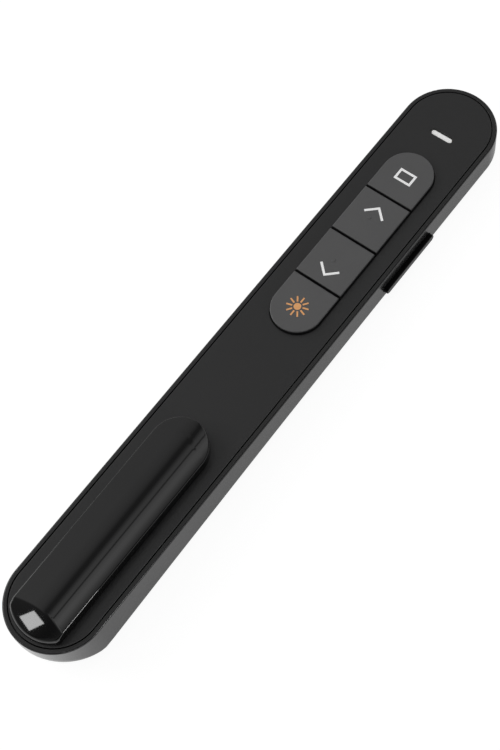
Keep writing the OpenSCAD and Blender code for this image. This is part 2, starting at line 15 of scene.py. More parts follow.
import bmesh
import bpy
from mathutils import Euler, Matrix, Vector


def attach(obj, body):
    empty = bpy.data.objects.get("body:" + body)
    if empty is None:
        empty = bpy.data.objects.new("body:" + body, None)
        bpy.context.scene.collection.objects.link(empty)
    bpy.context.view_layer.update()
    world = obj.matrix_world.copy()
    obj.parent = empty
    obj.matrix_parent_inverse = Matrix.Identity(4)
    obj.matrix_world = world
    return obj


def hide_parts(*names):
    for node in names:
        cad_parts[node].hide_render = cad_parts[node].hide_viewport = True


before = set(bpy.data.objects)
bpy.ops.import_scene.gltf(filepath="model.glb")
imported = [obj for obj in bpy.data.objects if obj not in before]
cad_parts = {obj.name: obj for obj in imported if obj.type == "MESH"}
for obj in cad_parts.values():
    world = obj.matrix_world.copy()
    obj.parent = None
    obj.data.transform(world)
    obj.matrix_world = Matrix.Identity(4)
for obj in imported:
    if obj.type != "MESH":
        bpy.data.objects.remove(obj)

LOG = logging.getLogger("clicker")
MM = 0.001
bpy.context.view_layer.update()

# Metres: points of a mesh nearer than this are one, and the reaches that join a CAD node's triangles.
WELD = 2e-7
REACHES = (1e-8, 1e-7, 1e-6)
# Faces whose normals' cosine is above this belong to one flat.
FLAT = 0.99999
# Places of the Mix node's two colours and of the colour that it returns.
MIX_A, MIX_B, MIX_OUT = 6, 7, 2
# Past the nose and under the keel, for tools that reach beyond the body, in millimetres.
FAR, DEEP = 70, -9

Object = bpy.types.Object
Material = bpy.types.Material
Point = tuple[float, float, float]
Colour = tuple[float, float, float]
Pair = tuple[float, float]
Pairs = Sequence[Pair]


class Bool(Enum):
    """What a Boolean modifier does with its tool."""

    CUT = "DIFFERENCE"
    KEEP = "INTERSECT"
    JOIN = "UNION"


# ---------- the body's frame and outline ----------


@dataclass(frozen=True)
class BodyForm:
    """Outer form of the body, shared by the sub-assemblies, in millimetres."""

    length: float = 148.25
    radius: float = 10.35
    nose_h: float = 6.8
    tail_h: float = 10.45
    rim_round: float = 0.4
    skirt_h: float = 0.4
    arch_h: float = 1.0
    bevel: float = math.radians(30)
    plate_t: float = 1.4
    rim_w: float = 1.0
    groove_w: float = 0.2

    @property
    def half(self) -> float:
        """Distance from the middle to the centre of each round end."""
        return self.length / 2 - self.radius

    @property
    def tilt(self) -> float:
        """Angle between the deck and the table."""
        return math.atan((self.tail_h - self.nose_h) / (2 * self.half))

    @property
    def deck(self) -> Matrix:
        """Takes a point on the deck in millimetres to the row frame in metres."""
        level = Matrix.Translation((0, 0, (self.nose_h + self.tail_h) / 2 * MM))
        return level @ Matrix.Rotation(-self.tilt, 4, "X") @ Matrix.Scale(MM, 4)

    def place(self, x: float, y: float, z: float) -> Vector:
        """Returns a point of the deck in the row frame, in metres."""
        return self.deck @ Vector((x, y, z))


@dataclass(frozen=True)
class Station:
    """One place on the outline of a bar with round ends.

    Attributes:
        centre: the point of the bar's middle line that the place belongs to.
        out: the direction straight out of the bar there.
    """

    centre: Vector
    out: Vector

    def at(self, r: float, z: float) -> Vector:
        """Returns the point at distance r from the middle line and height z."""
        return Vector((*(self.centre + self.out * r), z))


@dataclass(frozen=True)
class BarOutline:
    """Outline of a bar with round ends, as a closed run of stations.

    Attributes:
        half: distance from the bar's middle to each end's centre.
        middle: place of the bar's middle along y.
        arc: number of steps in each round end, an even number.
        straight: number of steps along each side.
    """

    half: float
    middle: float = 0.0
    arc: int = 72
    straight: int = 2

    def stations(self) -> list[Station]:
        """Returns the stations, up the right side, round the nose and back."""
        found = []
        for side in (1, -1):
            for i in range(self.straight):
                y = side * self.half * (2 * i / self.straight - 1)
                found.append(Station(Vector((0, self.middle + y)), Vector((side, 0))))
            for k in range(self.arc):
                angle = math.pi * (k / self.arc) + (0 if side > 0 else math.pi)
                centre = Vector((0, self.middle + side * self.half))
                found.append(Station(centre, Vector((math.cos(angle), math.sin(angle)))))
        return found

    def mirror(self, index: int) -> int:
        """Returns the index of the station opposite, across the bar's middle line."""
        count = 2 * (self.straight + self.arc)
        return (2 * self.straight + self.arc - index) % count

    def loft(self, name: str, rings: Sequence[Sequence[Vector]]) -> Object:
        """Joins rings of points into a closed solid with flat caps.

        Args:
            name: name of the new object.
            rings: one list of points per ring, in the order of stations().

        Returns:
            The new object, linked to the scene.
        """
        count = len(rings[0])
        verts = [p for ring in rings for p in ring]
        faces = []
        for level in range(len(rings) - 1):
            for i in range(count):
                j = (i + 1) % count
                faces.append([level * count + i, level * count + j,
                              (level + 1) * count + j, (level + 1) * count + i])
        for first in (0, (len(rings) - 1) * count):
            for i in range(-self.arc // 2, self.straight + self.arc // 2):
                corner = [i % count, (i + 1) % count, self.mirror(i + 1), self.mirror(i)]
                faces.append([first + c for c in dict.fromkeys(corner)])
        return Shop.mesh(name, verts, faces)

    def solid(self, name: str, profile: Pairs, to: Matrix) -> Object:
        """Sweeps a profile of (distance, height) pairs round the bar.

        Args:
            name: name of the new object.
            profile: pairs from the lower cap to the upper cap.
            to: takes the bar's own millimetres to the row frame.

        Returns:
            The closed solid.
        """
        rings = [[to @ s.at(r, z) for s in self.stations()] for r, z in profile]
        return self.loft(name, rings)


def rounded(r: float, top: float, radius: float, steps: int = 5) -> list[Pair]:
    """Returns the profile of a rounded upper edge, from the wall to the top.

    Args:
        r: distance of the wall.
        top: height of the top.
        radius: radius of the edge, negative for an edge that flares out.
        steps: number of chords in the round.
    """
    pairs = []
    for k in range(steps + 1):
        a = math.pi / 2 * k / steps
        pairs.append((r - radius * (1 - math.cos(a)), top - abs(radius) * (1 - math.sin(a))))
    return pairs


def soft_min(a: float, b: float, size: float) -> float:
    """Returns the lower of two values, blended where they differ by less than size."""
    near = max(size - abs(a - b), 0) / size
    return min(a, b) - near * near * size / 4


# ---------- workshop: mesh tools ----------


class Shop:
    """Tools that make, cut and finish meshes."""

    @staticmethod
    def link(name: str, data: bpy.types.ID) -> Object:
        """Returns a new object of the scene with this data."""
        made = bpy.data.objects.new(name, data)
        bpy.context.scene.collection.objects.link(made)
        return made

    @staticmethod
    def mesh(name: str, verts: Iterable[Vector], faces: Iterable[Sequence[int]]) -> Object:
        """Makes an object from points and faces, with doubles merged and faces turned out."""
        data = bpy.data.meshes.new(name)
        data.from_pydata([tuple(v) for v in verts], [], [list(f) for f in faces])
        shape = bmesh.new()
        shape.from_mesh(data)
        bmesh.ops.remove_doubles(shape, verts=shape.verts, dist=WELD)
        bmesh.ops.recalc_face_normals(shape, faces=shape.faces)
        shape.to_mesh(data)
        shape.free()
        return Shop.link(name, data)

    @staticmethod
    def merged(node: str, name: str) -> Object:
        """Returns a closed, named copy of a CAD node whose loose triangles are joined up."""
        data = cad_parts[node].data.copy()
        for reach in REACHES:
            shape = bmesh.new()
            shape.from_mesh(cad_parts[node].data)
            bmesh.ops.remove_doubles(shape, verts=shape.verts, dist=reach)
            bmesh.ops.dissolve_degenerate(shape, edges=shape.edges, dist=reach)
            shape.to_mesh(data)
            closed = all(edge.is_manifold for edge in shape.edges)
            shape.free()
            if closed:
                break
        data.materials.clear()
        return Shop.link(name, data)

    @staticmethod
    def bake(piece: Object) -> None:
        """Turns what a piece's modifiers make into its plain mesh."""
        bpy.context.view_layer.update()
        graph = bpy.context.evaluated_depsgraph_get()
        data = bpy.data.meshes.new_from_object(piece.evaluated_get(graph))
        piece.modifiers.clear()
        data.name = piece.name
        piece.data = data

    @classmethod
    def boolean(cls, piece: Object, tool: Object, how: Bool) -> None:
        """Cuts, keeps or joins piece with tool, and removes the tool."""
        step = piece.modifiers.new("boolean", "BOOLEAN")
        step.operation = how.value
        step.solver = "MANIFOLD"
        step.object = tool
        cls.bake(piece)
        bpy.data.objects.remove(tool)

    @staticmethod
    def _flats(shape: bmesh.types.BMesh) -> list[float]:
        """Returns, for each face, the area of the flat that it belongs to."""
        areas = [-1.0] * len(shape.faces)
        for seed in shape.faces:
            if areas[seed.index] >= 0:
                continue
            areas[seed.index] = 0.0
            flat = [seed]
            for face in flat:
                for other in (f for edge in face.edges for f in edge.link_faces):
                    if areas[other.index] < 0 and other.normal.dot(seed.normal) > FLAT:
                        areas[other.index] = 0.0
                        flat.append(other)
            total = sum(face.calc_area() for face in flat)
            for face in flat:
                areas[face.index] = total
        return areas

    @classmethod
    def smooth(cls, piece: Object, angle: float) -> None:
        """Shades a piece smooth, with creases past the angle and flats kept flat."""
        shape = bmesh.new()
        shape.from_mesh(piece.data)
        flats = cls._flats(shape)
        least = math.cos(math.radians(angle))
        normals = []
        for face in shape.faces:
            for corner in face.loops:
                blend = Vector()
                for near in corner.vert.link_loops:
                    if near.face.normal.dot(face.normal) > least:
                        blend += near.face.normal * (near.calc_angle() * flats[near.face.index])
                normals.append(blend.normalized() if blend.length > 0 else face.normal.copy())
        shape.free()
        piece.data.shade_smooth()
        piece.data.normals_split_custom_set(normals)

    @classmethod
    def prism(cls, name: str, outline: Pairs, low: float, high: float,
              to: Matrix, edge: float = 0.0, steps: int = 4) -> Object:
        """Raises an outline into a solid, with a rounded upper edge if edge is above 0.

        Args:
            name: name of the new object.
            outline: points of the outline, counterclockwise.
            low: height of the lower face.
            high: height of the upper face.
            to: takes the outline's millimetres to the row frame.
            edge: radius of the upper edge.
            steps: number of chords in that round.
        """
        count = len(outline)
        verts = [Vector((x, y, z)) for z in (low, high) for x, y in outline]
        faces = [list(range(count))[::-1], list(range(count, 2 * count))]
        faces += [[i, (i + 1) % count, count + (i + 1) % count, count + i] for i in range(count)]
        made = cls.mesh(name, verts, faces)
        if edge > 0:
            weights = made.data.attributes.new("bevel_weight_edge", "FLOAT", "EDGE")
            for e in made.data.edges:
                upper = all(made.data.vertices[v].co.z > high - 1e-6 for v in e.vertices)
                weights.data[e.index].value = 1.0 if upper else 0.0
            step = made.modifiers.new("edge", "BEVEL")
            step.limit_method = "WEIGHT"
            step.width = edge
            step.segments = steps
            cls.bake(made)
        made.data.transform(to)
        if to.to_3x3().determinant() < 0:
            made.data.flip_normals()
        return made

    @staticmethod
    def dress(piece: Object, finish: "Finish") -> None:
        """Gives a piece one finish all over."""
        piece.data.materials.clear()
        piece.data.materials.append(finish.material())

    @classmethod
    def fit(cls, piece: Object, body: str, slot: str, finish: "Finish",
            nodes: Sequence[str] = (), crease: float | None = 32.0) -> None:
        """Shades and dresses a finished piece and ties it to its CAD body.

        Args:
            piece: the finished piece.
            body: the CAD body that it rides on.
            slot: the record's material slot; not used.
            finish: its finish.
            nodes: the CAD nodes that it stands for.
            crease: angle past which its edges stay sharp, or None for plain flat faces.
        """
        if crease is not None:
            cls.smooth(piece, crease)
        cls.dress(piece, finish)
        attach(piece, body)
        if nodes:
            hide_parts(*nodes)
        LOG.info("%s: %d faces, rides on %s", piece.name, len(piece.data.polygons), body)


# ---------- shaders ----------


def arithmetic(operation: str, swapped: bool = False) -> Callable[[Sock, Value], Sock]:
    """Returns a method that adds a Math node.

    Args:
        operation: the node's operation.
        swapped: whether the wrapped socket is the second value.
    """
    def method(self: Sock, other: Value) -> Sock:
        """Returns the result of the Math node."""
        pair = (other, self) if swapped else (self, other)
        return self.graph.node("ShaderNodeMath", {"operation": operation}, dict(enumerate(pair)))
    return method


class Sock:
    """An output socket whose arithmetic adds Math nodes."""

    def __init__(self, graph: "Graph", socket: bpy.types.NodeSocket) -> None:
        """Wraps one socket of a graph."""
        self.graph = graph
        self.socket = socket

    __add__, __radd__ = arithmetic("ADD"), arithmetic("ADD", True)
    __sub__, __rsub__ = arithmetic("SUBTRACT"), arithmetic("SUBTRACT", True)
    __mul__, __rmul__ = arithmetic("MULTIPLY"), arithmetic("MULTIPLY", True)
    __gt__ = arithmetic("GREATER_THAN")


Value = Sock | float | int


class Graph:
    """Node tree of a material or of the world."""

    def __init__(self, owner: Material | bpy.types.World) -> None:
        """Empties the owner's tree."""
        owner.use_nodes = True
        self.owner = owner
        self.tree = owner.node_tree
        self.tree.nodes.clear()

    def node(self, kind: str, settings: dict | None = None, inputs: dict | None = None,
             out: int | str = 0) -> Sock:
        """Adds a node.

        Args:
            kind: the node's type.
            settings: its settings, or "stops" for a ramp's (place, grey) pairs.
            inputs: values, vectors, colours or Socks, by the socket's name or place.
            out: the output that is returned.
        """
        made = self.tree.nodes.new(kind)
        for key, value in (settings or {}).items():
            if key == "stops":
                self._stops(made.color_ramp, value)
            else:
                setattr(made, key, value)
        for key, value in (inputs or {}).items():
            if isinstance(value, Sock):
                self.tree.links.new(value.socket, made.inputs[key])
            else:
                made.inputs[key].default_value = value
        return Sock(self, made.outputs[out] if made.outputs else None)

    @staticmethod
    def _stops(ramp: bpy.types.ColorRamp, stops: Pairs) -> None:
        """Sets a ramp's stops from (place, grey) pairs."""
        while len(ramp.elements) < len(stops):
            ramp.elements.new(0.5)
        for element, (place, grey) in zip(ramp.elements, stops):
            element.position = place
            element.color = (grey, grey, grey, 1)

    def where(self, scale: Point = (1, 1, 1), turn: Point = (0, 0, 0)) -> Sock:
        """Returns the Object coordinates, scaled and turned."""
        place = self.node("ShaderNodeTexCoord", out="Object")
        return self.node("ShaderNodeMapping", {}, {"Vector": place, "Scale": scale, "Rotation": turn})

    def axis(self, name: str, vector: Sock | None = None) -> Sock:
        """Returns one part of a vector, which is the Object coordinates if none is given."""
        return self.node("ShaderNodeSeparateXYZ", {}, {"Vector": vector or self.where()}, out=name)

    def ray(self, kind: str) -> Sock:
        """Returns 1 on rays of one kind."""
        return self.node("ShaderNodeLightPath", out=f"Is {kind} Ray")

    def noise(self, size: float, detail: float = 2.0, rough: float = 0.5,
              stretch: Point = (1, 1, 1)) -> Sock:
        """Returns a noise from 0 to 1 whose features are about size millimetres."""
        return self.node("ShaderNodeTexNoise", {}, {
            "Vector": self.where(stretch), "Scale": 1 / (size * MM), "Detail": detail,
            "Roughness": rough})

    def cells(self, size: float) -> Sock:
        """Returns the distance field of random cells of about size millimetres."""
        return self.node("ShaderNodeTexVoronoi", {"feature": "F1"}, {
            "Vector": self.where(), "Scale": 1 / (size * MM)})

    def ramp(self, value: Sock, stops: Pairs) -> Sock:
        """Returns value through a ramp of (place, grey) stops."""
        return self.node("ShaderNodeValToRGB", {"stops": stops}, {"Fac": value})

    def mix(self, share: Value, a: Colour | Sock, b: Colour | Sock) -> Sock:
        """Returns the colour between a and b."""
        def full(c: Colour | Sock) -> Sock | tuple[float, ...]:
            """Adds an alpha to a plain colour."""
            return c if isinstance(c, Sock) else (*c, 1)
        return self.node("ShaderNodeMix", {"data_type": "RGBA"},
                         {0: share, MIX_A: full(a), MIX_B: full(b)}, out=MIX_OUT)

    def bump(self, height: Sock, depth: float, below: Sock | None = None) -> Sock:
        """Returns a normal from a height field whose full range is depth millimetres."""
        inputs = {"Height": height, "Distance": depth * MM, "Strength": 1.0}
        if below is not None:
            inputs["Normal"] = below
        return self.node("ShaderNodeBump", {}, inputs, out="Normal")

    def finish(self, colour: Colour | Sock, rough: Value, **extra: object) -> Material:
        """Ends the tree with a Principled shader.

        Args:
            colour: base colour.
            rough: roughness.
            **extra: other sockets, with underscores for spaces in their names.
        """
        inputs = {"Base Color": colour if isinstance(colour, Sock) else (*colour, 1), "Roughness": rough}
        inputs.update({key.replace("_", " "): value for key, value in extra.items()})
        shader = self.node("ShaderNodeBsdfPrincipled", {}, inputs)
        self.node("ShaderNodeOutputMaterial", {}, {"Surface": shader})
        return self.owner


@dataclass(frozen=True)
class Finish:
    """A finish: its name and base colour."""

    name: str
    colour: Colour

    def material(self) -> Material:
        """Returns the material, made on first use."""
        found = bpy.data.materials.get(self.name)
        return found if found else self.build(Graph(bpy.data.materials.new(self.name)))

    def shade(self, factor: float) -> Colour:
        """Returns the base colour, made darker or lighter."""
        return tuple(c * factor for c in self.colour)

    def build(self, g: Graph) -> Material:
        """Builds the material in an empty graph."""
        return g.finish(self.colour, 0.5)


@dataclass(frozen=True)
class MouldedPlastic(Finish):
    """Moulded plastic with a fine spark-eroded grain, faint mottle and handling sheen."""

    rough: float = 0.3
    grain: float = 0.16
    depth: float = 0.004
    specular: float = 0.5

    def tint(self, g: Graph, specks: Sock) -> Sock:
        """Returns the mottled colour."""
        mottle = 0.9 + 0.14 * g.noise(9, 3) + 0.06 * specks
        return g.mix(mottle - 0.5, self.shade(0.5), self.shade(1.5))

    def build(self, g: Graph) -> Material:
        """Builds the grained plastic."""
        specks = g.noise(self.grain, 2, 0.6)
        pits = g.ramp(g.cells(self.grain * 2.2), [(0.0, 0.0), (0.55, 1.0)])
        colour = self.tint(g, specks)
        handled = g.ramp(g.noise(16, 2), [(0.35, 0.0), (0.7, 1.0)])
        rough = self.rough + 0.05 * specks - 0.05 * handled
        normal = g.bump(specks + 0.6 * pits, self.depth)
        return g.finish(colour, rough, Normal=normal, Specular_IOR_Level=self.specular)


@dataclass(frozen=True)
class GapShadedPlastic(MouldedPlastic):
    """Moulded plastic painted dark below a height over the deck: painted shade in the gaps, grooves and slots
    under its top surface.
    """

    height: float = 0.6
    # Colour below that height: the painted shade.
    below: Colour = (0.012, 0.012, 0.0122)

    def tint(self, g: Graph, specks: Sock) -> Sock:
        """Returns the base colour above the height, over the painted shade colour below it."""
        body = BodyForm()
        y, z = g.axis("Y"), g.axis("Z")
        middle = (body.nose_h + body.tail_h) / 2 * MM
        over = y * math.sin(body.tilt) + (z - middle) * math.cos(body.tilt)
        return g.mix(over > self.height * MM, self.below, super().tint(g, specks))


@dataclass(frozen=True)
class PolishedPlastic(Finish):
    """Glossy moulding with a slight waviness and hairline scuffs."""

    rough: float = 0.1
    scuff: float = 0.10

    def build(self, g: Graph) -> Material:
        """Builds the polished plastic."""
        hairs = g.ramp(g.noise(0.5, 4, 0.7, (9, 0.7, 4)), [(0.55, 0.0), (0.8, 1.0)])
        cloud = g.noise(14, 3)
        wave = g.noise(7, 1)
        colour = g.mix(cloud, self.shade(0.9), self.shade(1.12))
        rough = self.rough + self.scuff * hairs * cloud
        return g.finish(colour, rough, Normal=g.bump(wave, 0.0015))


@dataclass(frozen=True)
class Metal(Finish):
    """Metal with lines from drawing, turning or brushing."""

    rough: float = 0.25
    line: float = 0.05
    stretch: Point = (1, 12, 12)

    def build(self, g: Graph) -> Material:
        """Builds the metal."""
        lines = g.noise(self.line, 3, 0.6, self.stretch)
        stain = g.ramp(g.noise(2.5, 3), [(0.45, 0.0), (0.75, 1.0)])
        colour = g.mix(0.3 * stain, self.colour, self.shade(0.6))
        rough = self.rough + 0.18 * lines + 0.12 * stain
        return g.finish(colour, rough, Metallic=1.0, Normal=g.bump(lines, 0.002))


@dataclass(frozen=True)
class Print(Finish):
    """Pad-printed ink: a matt film with pinholes, with a faint painted glow that brightens it."""

    # Emission strength: a painted glow that makes the ink brighter than its lighting.
    glow: float = 0.0

    def build(self, g: Graph) -> Material:
        """Builds the ink."""
        film = g.noise(0.12, 2)
        colour = g.mix(0.25 * film, self.colour, self.shade(0.8))
        return g.finish(colour, 0.55 + 0.1 * film, Normal=g.bump(film, 0.002),
                        Emission_Color=(*self.colour, 1), Emission_Strength=self.glow)


@dataclass(frozen=True)
class SolderMask(Finish):
    """Green board: lacquer over copper tracks that show as raised lines."""

    def build(self, g: Graph) -> Material:
        """Builds the board's lacquer and tracks."""
        waves = []
        for turn in (0.0, math.pi / 2):
            waves.append(g.node("ShaderNodeTexWave", {"wave_type": "BANDS"}, {
                "Vector": g.where(turn=(0, 0, turn)), "Scale": 160.0, "Distortion": 6.0,
                "Detail": 1.0, "Detail Scale": 0.6}, out="Fac"))
        patch = g.ramp(g.noise(6, 1), [(0.48, 0.0), (0.52, 1.0)])
        tracks = g.ramp(waves[0] * patch + waves[1] * (1 - patch), [(0.72, 0.0), (0.8, 1.0)])
        colour = g.mix(tracks, self.colour, self.shade(1.9))
        return g.finish(colour, 0.28 + 0.1 * g.noise(0.4), Normal=g.bump(tracks, 0.03))


@dataclass(frozen=True)
class Resin(Finish):
    """Clear or milky moulding that lets light through."""

    rough: float = 0.18
    through: float = 0.6
    ior: float = 1.5
    # Emission strength: a painted glow, as no lamp lights the part from inside.
    glow: float = 0.0

    def build(self, g: Graph) -> Material:
        """Builds the clear plastic."""
        haze = g.noise(0.6, 3)
        colour = g.mix(0.4 * haze, self.colour, self.shade(0.85))
        return g.finish(colour, self.rough + 0.12 * haze, Transmission_Weight=self.through, IOR=self.ior,
                        Emission_Color=(*self.colour, 1), Emission_Strength=self.glow)


@dataclass(frozen=True)
class Sleeve(Finish):
    """Printed film round a cell: satin, with a darker band at one end and a seam."""

    band_y: float = 0.0
    band: Colour = (0.08, 0.08, 0.09)

    def build(self, g: Graph) -> Material:
        """Builds the film."""
        colour = g.mix(g.axis("Y") > self.band_y, self.colour, self.band)
        wrinkle = g.noise(1.2, 3, 0.5, (1, 0.3, 1))
        return g.finish(colour, 0.28 + 0.12 * wrinkle, Metallic=0.6, Normal=g.bump(wrinkle, 0.01))


class Finishes:
    """Every finish of the clicker."""

    HOUSING = MouldedPlastic("housing_plastic", (0.027, 0.027, 0.0274), rough=0.22, grain=0.14,
                             specular=0.42)
    # The cover is painted near black from 0.08 mm under the deck down: painted shade in the groove, key
    # opening and light slot.
    COVER = GapShadedPlastic("cover_plastic", (0.0195, 0.0195, 0.0199), rough=0.34, grain=0.12, height=-0.08,
                           below=(0.001, 0.001, 0.001))
    HUMP = PolishedPlastic("hump_plastic", (0.008, 0.008, 0.0082), rough=0.03, scuff=0.05)
    # Key sides below 0.6 mm over the deck are painted dark: painted shade in the gaps between keys.
    KEY = GapShadedPlastic("key_plastic", (0.118, 0.118, 0.119), rough=0.5, grain=0.1, depth=0.005)
    ROCKER = MouldedPlastic("rocker_plastic", (0.0045, 0.0045, 0.0046), rough=0.16, grain=0.1, depth=0.002,
                            specular=0.15)
    # Both inks glow faintly: a painted glow that brightens the print.
    WHITE_INK = Print("white_ink", (0.97, 0.97, 0.97), glow=0.25)
    ORANGE_INK = Print("orange_ink", (0.95, 0.46, 0.18), glow=0.12)
    # The light guide glows: a painted glow that lightens it, with no lit LED behind it.
    GUIDE = Resin("light_guide_resin", (0.95, 0.95, 0.94), through=0.05, glow=0.24)
    LENS = Resin("lens_acrylic", (0.92, 0.96, 0.98), rough=0.03, through=1.0)
    FILTER = Resin("filter_acrylic", (0.20, 0.012, 0.02), rough=0.05, through=0.7)
    EPOXY = Resin("led_epoxy", (0.90, 0.86, 0.66), rough=0.2, through=0.4)
    BOARD = SolderMask("board_lacquer", (0.014, 0.10, 0.045))
    CHIP = MouldedPlastic("chip_epoxy", (0.016, 0.016, 0.017), rough=0.55, grain=0.06)
    PLUNGER = MouldedPlastic("plunger_plastic", (0.50, 0.38, 0.17), rough=0.4, grain=0.1)
    CERAMIC = MouldedPlastic("white_ceramic", (0.72, 0.69, 0.60), rough=0.5, grain=0.08)
    CAPACITOR = MouldedPlastic("brown_ceramic", (0.26, 0.14, 0.07), rough=0.45, grain=0.08)
    INSULATOR = MouldedPlastic("white_insulator", (0.74, 0.74, 0.72), rough=0.4, grain=0.1)
    RED_WIRE = PolishedPlastic("red_insulation", (0.45, 0.015, 0.012), rough=0.3)
    BLACK_WIRE = PolishedPlastic("black_insulation", (0.015, 0.015, 0.016), rough=0.3)
    RECEIVER = MouldedPlastic("receiver_plastic", (0.018, 0.018, 0.019), rough=0.32, grain=0.13)
    STEEL = Metal("brushed_steel", (0.60, 0.61, 0.62), rough=0.28)
    NICKEL = Metal("nickel_plate", (0.66, 0.65, 0.63), rough=0.18, line=0.08, stretch=(12, 1, 12))
    ZINC = Metal("zinc_plate", (0.36, 0.37, 0.38), rough=0.38, line=0.06, stretch=(4, 4, 4))
    CAN = Metal("black_nickel", (0.035, 0.035, 0.037), rough=0.5, line=0.06, stretch=(4, 4, 4))
    BRASS = Metal("turned_brass", (0.72, 0.50, 0.20), rough=0.22, line=0.08, stretch=(2, 14, 2))
    GOLD = Metal("gold_plate", (0.86, 0.62, 0.26), rough=0.2, line=0.05, stretch=(1, 8, 8))
    CELL = Sleeve("cell_sleeve", (0.36, 0.38, 0.41), band_y=-0.034)


# ---------- housing ----------


@dataclass
class Housing:
    """Lower housing, battery door and screws.

    Attributes:
        skin: how far the smooth form lies inside the CAD walls.
        soft: how far the planes of the underside blend where they meet.
        edge: size of the rounded foot of the walls.
        stern_edge: what is added to it under the raised stern.
        stern_bow: what is added to it up the raised stern's wall.
        lip: flare of the rim's inner edge.
        stern_y: place of the axis of the cone that raises the stern.
        stern_r: radius of that cone on the table.
        rows: steps along each side.
        steps: steps from a wall's foot to the keel.
        keel: height of the keel over the table.
        reach: distance from a wall's foot within which the keel begins.
        centre: distance from a wall's foot of the last point, near the middle line.
        past: distance from the keel's edge of the point that holds it flat.
        low: height of a foot where the raised stern begins.
        span: how much higher the foot is where it is raised in full.
        slack: how far the form clears the CAD's rim and recess.
    """

    body: BodyForm
    skin: float = 0.035
    soft: float = 0.12
    edge: float = 0.3
    stern_edge: float = 0.7
    stern_bow: float = 2.9
    lip: float = 0.05
    stern_y: float = -57.775
    stern_r: float = 11.563
    rows: int = 56
    steps: int = 12
    keel: float = 0.01
    reach: float = 8.4
    centre: float = 8.6
    past: float = 0.12
    low: float = 1.2
    span: float = 3.4
    slack: float = 0.005

    def _under(self, x: float, y: float) -> float:
        """Returns the underside's height over the table at a level place, in millimetres."""
        b = self.body
        end = abs(y) - b.half
        rise = b.arch_h * (1 - (y / b.half) ** 2) if end < 0 else 0.0
        side = abs(x) if end < 0 else math.hypot(x, end)
        planes = [b.skirt_h + rise + (side - b.radius + self.skin) * math.tan(b.bevel)]
        if y < self.stern_y:
            planes.append(math.hypot(x, y - self.stern_y) - self.stern_r + self.skin)
        under = self.keel
        for plane in planes:
            under = -soft_min(-under, -plane, self.soft)
        return under

    def _foot(self, station: Station) -> Vector:
        """Returns where a wall meets the underside, in level millimetres."""
        r = self.body.radius - self.skin
        z = -4.0
        for _ in range(6):
            level = self.body.deck @ station.at(r, z) / MM
            z += self._under(level.x, level.y) - level.z
        return self.body.deck @ station.at(r, z) / MM

    def _section(self, station: Station) -> list[Vector]:
        """Returns the underside's section, from a wall's rounded foot to the keel."""
        foot = self._foot(station)
        inward = -Vector((*station.out, 0))

        def below(d: float) -> Vector:
            """Returns the place on the underside at distance d from the foot."""
            place = foot + inward * d
            return Vector((place.x, place.y, self._under(place.x, place.y)))

        low, high = 0.0, self.reach
        for _ in range(24):
            middle = (low + high) / 2
            low, high = (middle, high) if below(middle).z > self.keel + 0.002 else (low, middle)
        raised = min(max((foot.z - self.low) / self.span, 0), 1)
        size = self.edge + self.stern_edge * raised
        wall = self.body.deck @ station.at(self.body.radius - self.skin, -1) / MM
        above = foot + (wall - foot).normalized() * (self.edge + self.stern_bow * raised)
        start = below(size)
        ts = [k / 6 for k in range(7)]
        turn = [above * (1 - t) ** 2 + foot * (2 * t * (1 - t)) + start * t * t for t in ts]
        run = [below(size + (high - size) * k / self.steps) for k in range(1, self.steps + 1)]
        return turn + run + [below(high + self.past), below(self.centre)]

    def outer(self) -> Object:
        """Returns the closed outer form, with rounded edges and the recess of the deck."""
        b = self.body
        r = b.radius - self.skin
        recess = b.radius - b.rim_w + self.slack
        outline = BarOutline(b.half, arc=96, straight=self.rows)
        columns = []
        for s in outline.stations():
            top = [(recess, -b.plate_t + self.slack)]
            top += [(recess + self.lip * (1 - math.cos(a)), -2 * self.slack - self.lip * (1 - math.sin(a)))
                    for a in (math.pi / 2 * k / 4 for k in range(5))]
            top += [(x, z - 2 * self.slack) for x, z in reversed(rounded(r, 0, b.rim_round, 7))]
            columns.append([b.deck @ s.at(x, z) for x, z in top] + [p * MM for p in self._section(s)])
        rings = [[column[k] for column in columns] for k in range(len(columns[0]))]
        return outline.loft("outer_form", rings)

    def build(self) -> None:
        """Builds the housing and the door inside the same smooth outer form."""
        for node, name, body in (("lower_housing", "housing_shell", "housing"),
                                 ("battery_door", "battery_door_shell", "battery_door")):
            piece = Shop.merged(node, name)
            Shop.boolean(piece, self.outer(), Bool.KEEP)
            Shop.fit(piece, body, "housing", Finishes.HOUSING, [node])
        Shop.dress(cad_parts["housing_screws"], Finishes.ZINC)


# ---------- top cover ----------


